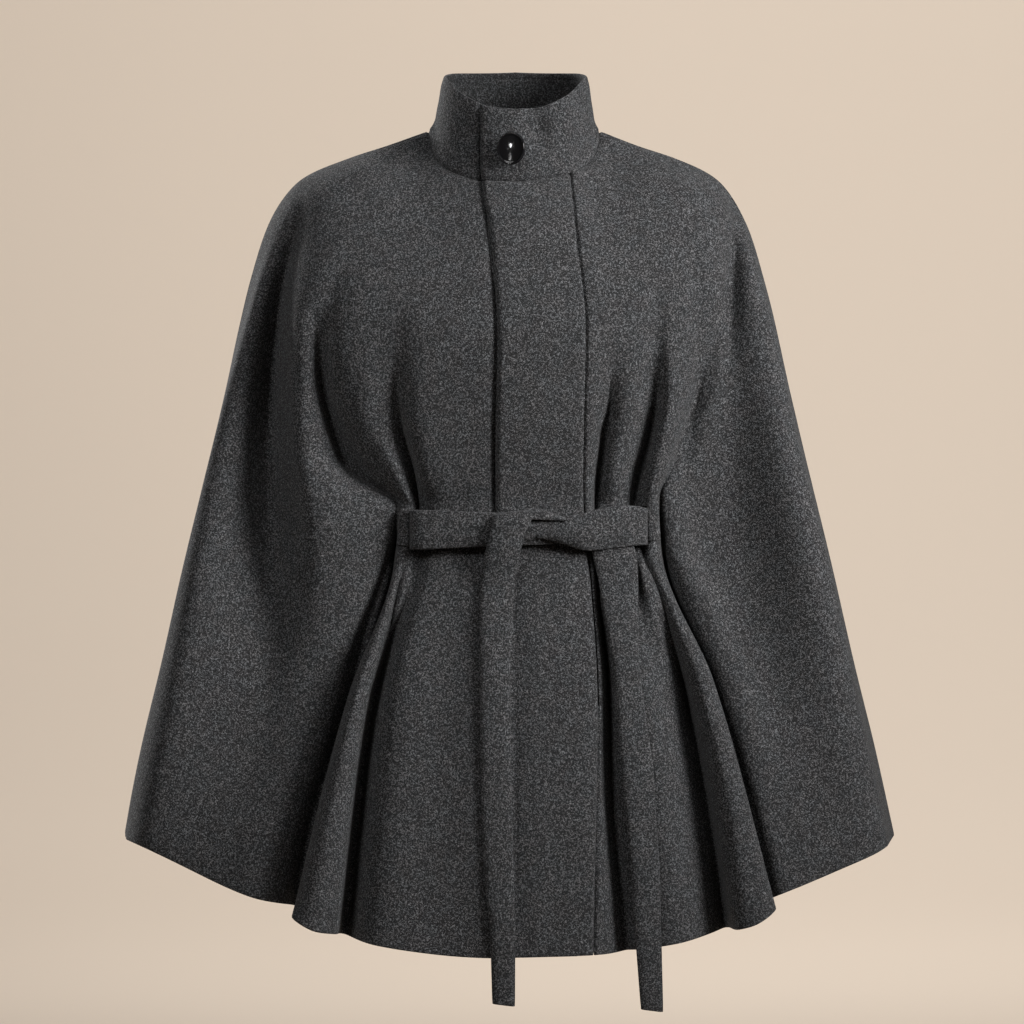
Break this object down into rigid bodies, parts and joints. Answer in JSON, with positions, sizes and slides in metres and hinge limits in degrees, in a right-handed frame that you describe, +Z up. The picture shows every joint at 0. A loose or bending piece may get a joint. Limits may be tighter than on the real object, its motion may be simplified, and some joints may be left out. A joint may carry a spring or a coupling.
{
  "type": "belted wool cape poncho",
  "caption": "Hip-length wool cape with a stand collar, a buttoned placket front and a tied belt that passes through slits at the waist.",
  "frame": {"origin": "midway between the two points where the wearer's shoulders meet the neck", "axes": "+Z up along the wearer, +X to the wearer's left, the front faces -Y"},
  "size_m": [0.7687, 0.3831, 0.9257],
  "materials": {
    "wool": "brushed charcoal melange wool",
    "belt": "brushed charcoal melange wool",
    "button": "polished black"
  },
  "bodies": {
    "root": {"front_right": "wool", "front_left": "wool", "front_placket": "wool", "back": "wool", "collar": "wool", "slit_welt_right": "wool", "slit_welt_left": "wool", "belt_waist": "belt", "belt_knot": "belt", "belt_tail_right": "belt", "belt_tail_left": "belt", "button": "button"}
  },
  "joints": []
}
